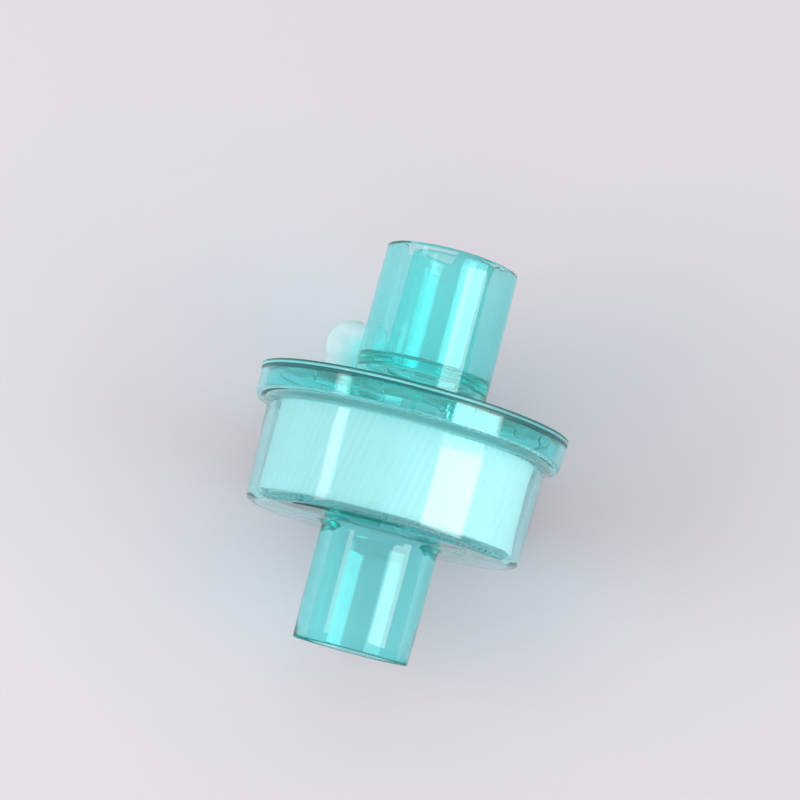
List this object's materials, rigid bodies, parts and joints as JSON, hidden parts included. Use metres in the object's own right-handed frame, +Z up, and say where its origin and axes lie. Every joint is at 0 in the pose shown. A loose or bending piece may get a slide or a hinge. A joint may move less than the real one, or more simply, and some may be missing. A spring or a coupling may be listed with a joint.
{
  "type": "breathing circuit filter",
  "caption": "Round in-line breathing filter: clear canister round a paper roll, membrane under a welded lid, conical tube ports on the axis and a capped sampling port.",
  "frame": {"origin": "on the axis, at the flat end of the lower port, on which the filter stands", "axes": "+Z up the axis from the lower port to the upper port; the sampling port is towards -X and +Y"},
  "size_m": [0.0592, 0.0592, 0.0759],
  "materials": {
    "clear_teal": "clear tinted moulded plastic, polished",
    "hme_paper": "white corrugated paper, matt",
    "filter_fleece": "white pressed fleece",
    "frosted_cap": "soft translucent plastic, frosted"
  },
  "bodies": {
    "filter": {"lower_housing": "clear_teal", "upper_housing": "clear_teal", "hme_roll": "hme_paper", "filter_membrane": "filter_fleece"},
    "cap": {"luer_cap": "frosted_cap"}
  },
  "joints": [
    {"name": "cap_pull", "type": "slide", "parent": "filter", "child": "cap", "axis": [0, 0, 1], "range_m": [0, 0.012]}
  ]
}
